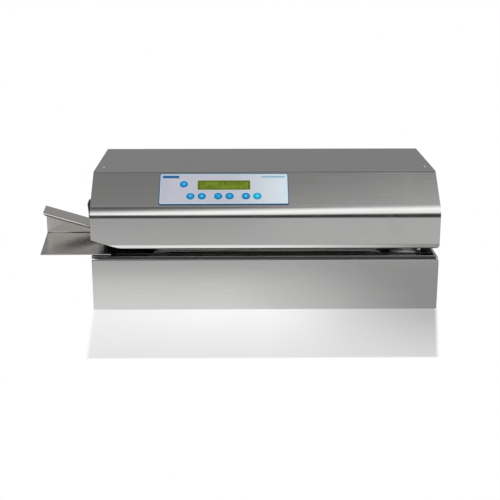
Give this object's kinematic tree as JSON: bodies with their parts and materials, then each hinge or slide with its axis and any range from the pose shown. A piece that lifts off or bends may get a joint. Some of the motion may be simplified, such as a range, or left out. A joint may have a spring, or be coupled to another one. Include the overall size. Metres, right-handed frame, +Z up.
{
  "type": "rotary pouch heat sealer",
  "caption": "Tabletop through-feed heat sealer for pouches: steel box base, folded cover with key panel and display, side-open sealing slot and folded infeed guide.",
  "frame": {"origin": "centre of the whole footprint, infeed guide and mains inlet included, at table height", "axes": "+X along the pouch's travel, from the infeed guide to the outlet, -Y out of the front with the keys, +Z up"},
  "size_m": [0.643, 0.263, 0.215],
  "materials": {
    "brushed_steel": "brushed stainless steel sheet",
    "black_steel": "matt black coat",
    "plated_steel": "zinc plated",
    "aluminium": "satin",
    "brass": "machined",
    "grey_silicone": "matt light grey silicone",
    "belt_rubber": "woven belt",
    "black_rubber": "matt",
    "black_plastic": "satin",
    "white_plastic": "natural acetal",
    "panel_film": "printed film on a plate",
    "key_blue": "domed keys under film",
    "display_green": "display behind a clear window",
    "board_green": "circuit board"
  },
  "bodies": {
    "machine": {"base_housing": "brushed_steel", "top_cover": "brushed_steel", "side_plate_left": "brushed_steel", "side_plate_right": "brushed_steel", "rear_panel": "brushed_steel", "infeed_guide": "brushed_steel", "slide_plate": "black_steel", "chassis_plate": "black_steel", "bottom_plate": "plated_steel", "gear_motor": "plated_steel", "lower_wheel_bearing": "plated_steel", "lower_belt_bearing": "plated_steel", "upper_belt_bearing": "plated_steel", "lower_idler_axle": "plated_steel", "upper_idler_axle": "plated_steel", "arm_pivot_pin": "plated_steel", "pressure_spring": "plated_steel", "heater_spring": "plated_steel", "power_supply": "plated_steel", "upper_carrier": "aluminium", "lower_carrier": "aluminium", "lower_heater": "brass", "lower_belt": "belt_rubber", "upper_belt": "belt_rubber", "foot_front_left": "black_rubber", "foot_front_right": "black_rubber", "foot_rear_left": "black_rubber", "foot_rear_right": "black_rubber", "switch_bezel": "black_plastic", "mains_inlet": "black_plastic", "fan_frame": "black_plastic", "panel_plate": "panel_film", "display_window": "display_green", "display_board": "board_green", "control_board": "board_green"},
    "lower_wheel": {"lower_pressure_wheel": "grey_silicone", "lower_wheel_shaft": "plated_steel", "wheel_gear": "plated_steel"},
    "lower_belt_drive": {"lower_drive_pulley": "aluminium", "lower_belt_shaft": "plated_steel", "lower_cluster_gear": "plated_steel"},
    "upper_belt_drive": {"upper_drive_pulley": "aluminium", "upper_belt_shaft": "plated_steel", "upper_cross_gear": "white_plastic"},
    "idler_gear_wheel": {"idler_gear": "white_plastic"},
    "pinion": {"motor_pinion": "brass"},
    "lower_idler": {"lower_idler_pulley": "aluminium"},
    "upper_idler": {"upper_idler_pulley": "aluminium"},
    "arm": {"pressure_arm": "plated_steel"},
    "upper_wheel": {"upper_pressure_wheel": "grey_silicone"},
    "fan": {"fan_rotor": "black_plastic"},
    "rocker": {"switch_rocker": "black_plastic"},
    "sealing_bar": {"upper_heater": "brass"},
    "key_mode_cap": {"key_mode": "key_blue"},
    "key_menu_down_cap": {"key_menu_down": "key_blue"},
    "key_menu_up_cap": {"key_menu_up": "key_blue"},
    "key_value_down_cap": {"key_value_down": "key_blue"},
    "key_value_up_cap": {"key_value_up": "key_blue"},
    "key_stop_cap": {"key_stop": "key_blue"},
    "key_start_cap": {"key_start": "key_blue"}
  },
  "joints": [
    {"name": "lower_wheel_spin", "type": "hinge", "parent": "machine", "child": "lower_wheel", "pos_m": [0.2705, -0.1015, 0.0687], "axis": [0, 1, 0], "continuous": true},
    {"name": "idler_gear_spin", "type": "hinge", "parent": "machine", "child": "idler_gear_wheel", "pos_m": [0.24292, 0.0175, 0.08285], "axis": [0, 1, 0], "continuous": true},
    {"name": "lower_belt_drive_spin", "type": "hinge", "parent": "machine", "child": "lower_belt_drive", "pos_m": [0.2185, -0.1015, 0.0775], "axis": [0, 1, 0], "continuous": true},
    {"name": "upper_belt_drive_spin", "type": "hinge", "parent": "machine", "child": "upper_belt_drive", "pos_m": [0.2185, -0.1015, 0.1175], "axis": [0, 1, 0], "continuous": true},
    {"name": "motor_pinion_spin", "type": "hinge", "parent": "machine", "child": "pinion", "pos_m": [0.28475, 0.0175, 0.04402], "axis": [0, 1, 0], "continuous": true},
    {"name": "lower_idler_spin", "type": "hinge", "parent": "machine", "child": "lower_idler", "pos_m": [-0.1185, -0.1015, 0.0775], "axis": [0, 1, 0], "continuous": true},
    {"name": "upper_idler_spin", "type": "hinge", "parent": "machine", "child": "upper_idler", "pos_m": [-0.1185, -0.1015, 0.1175], "axis": [0, 1, 0], "continuous": true},
    {"name": "pressure_arm_lift", "type": "hinge", "parent": "machine", "child": "arm", "pos_m": [0.2325, -0.0795, 0.162], "axis": [0, 1, 0], "range_deg": [-3, 0], "stiffness_Nm_per_rad": 6, "springref_deg": 2.86, "deforming": ["pressure_spring"]},
    {"name": "upper_wheel_spin", "type": "hinge", "parent": "arm", "child": "upper_wheel", "pos_m": [0.2705, -0.1015, 0.1263], "axis": [0, 1, 0], "continuous": true},
    {"name": "fan_spin", "type": "hinge", "parent": "machine", "child": "fan", "pos_m": [0.1365, 0.1185, 0.15], "axis": [0, 1, 0], "continuous": true},
    {"name": "mains_rocker", "type": "hinge", "parent": "machine", "child": "rocker", "pos_m": [-0.2285, -0.1035, 0.1633], "axis": [0, 1, 0], "range_deg": [0, 11]},
    {"name": "sealing_bar_float", "type": "slide", "parent": "machine", "child": "sealing_bar", "axis": [0, 0, 1], "range_m": [0, 0.0015], "stiffness_N_per_m": 2000, "springref_m": -0.002, "deforming": ["heater_spring"]},
    {"name": "key_mode_press", "type": "slide", "parent": "machine", "child": "key_mode_cap", "axis": [0, -0.6165, 0.7874], "range_m": [-0.0005, 0], "stiffness_N_per_m": 300},
    {"name": "key_menu_down_press", "type": "slide", "parent": "machine", "child": "key_menu_down_cap", "axis": [0, -0.6165, 0.7874], "range_m": [-0.0005, 0], "stiffness_N_per_m": 300},
    {"name": "key_menu_up_press", "type": "slide", "parent": "machine", "child": "key_menu_up_cap", "axis": [0, -0.6165, 0.7874], "range_m": [-0.0005, 0], "stiffness_N_per_m": 300},
    {"name": "key_value_down_press", "type": "slide", "parent": "machine", "child": "key_value_down_cap", "axis": [0, -0.6165, 0.7874], "range_m": [-0.0005, 0], "stiffness_N_per_m": 300},
    {"name": "key_value_up_press", "type": "slide", "parent": "machine", "child": "key_value_up_cap", "axis": [0, -0.6165, 0.7874], "range_m": [-0.0005, 0], "stiffness_N_per_m": 300},
    {"name": "key_stop_press", "type": "slide", "parent": "machine", "child": "key_stop_cap", "axis": [0, -0.6165, 0.7874], "range_m": [-0.0005, 0], "stiffness_N_per_m": 300},
    {"name": "key_start_press", "type": "slide", "parent": "machine", "child": "key_start_cap", "axis": [0, -0.6165, 0.7874], "range_m": [-0.0005, 0], "stiffness_N_per_m": 300}
  ],
  "couplings": [
    {"joint": "idler_gear_spin", "follows": "lower_wheel_spin", "ratio": -1.5833},
    {"joint": "lower_belt_drive_spin", "follows": "lower_wheel_spin", "ratio": 1.4615},
    {"joint": "upper_belt_drive_spin", "follows": "lower_wheel_spin", "ratio": -1.4615},
    {"joint": "motor_pinion_spin", "follows": "lower_wheel_spin", "ratio": -2},
    {"joint": "lower_idler_spin", "follows": "lower_wheel_spin", "ratio": 1.4615},
    {"joint": "upper_idler_spin", "follows": "lower_wheel_spin", "ratio": -1.4615},
    {"joint": "upper_wheel_spin", "follows": "lower_wheel_spin", "ratio": -1}
  ]
}
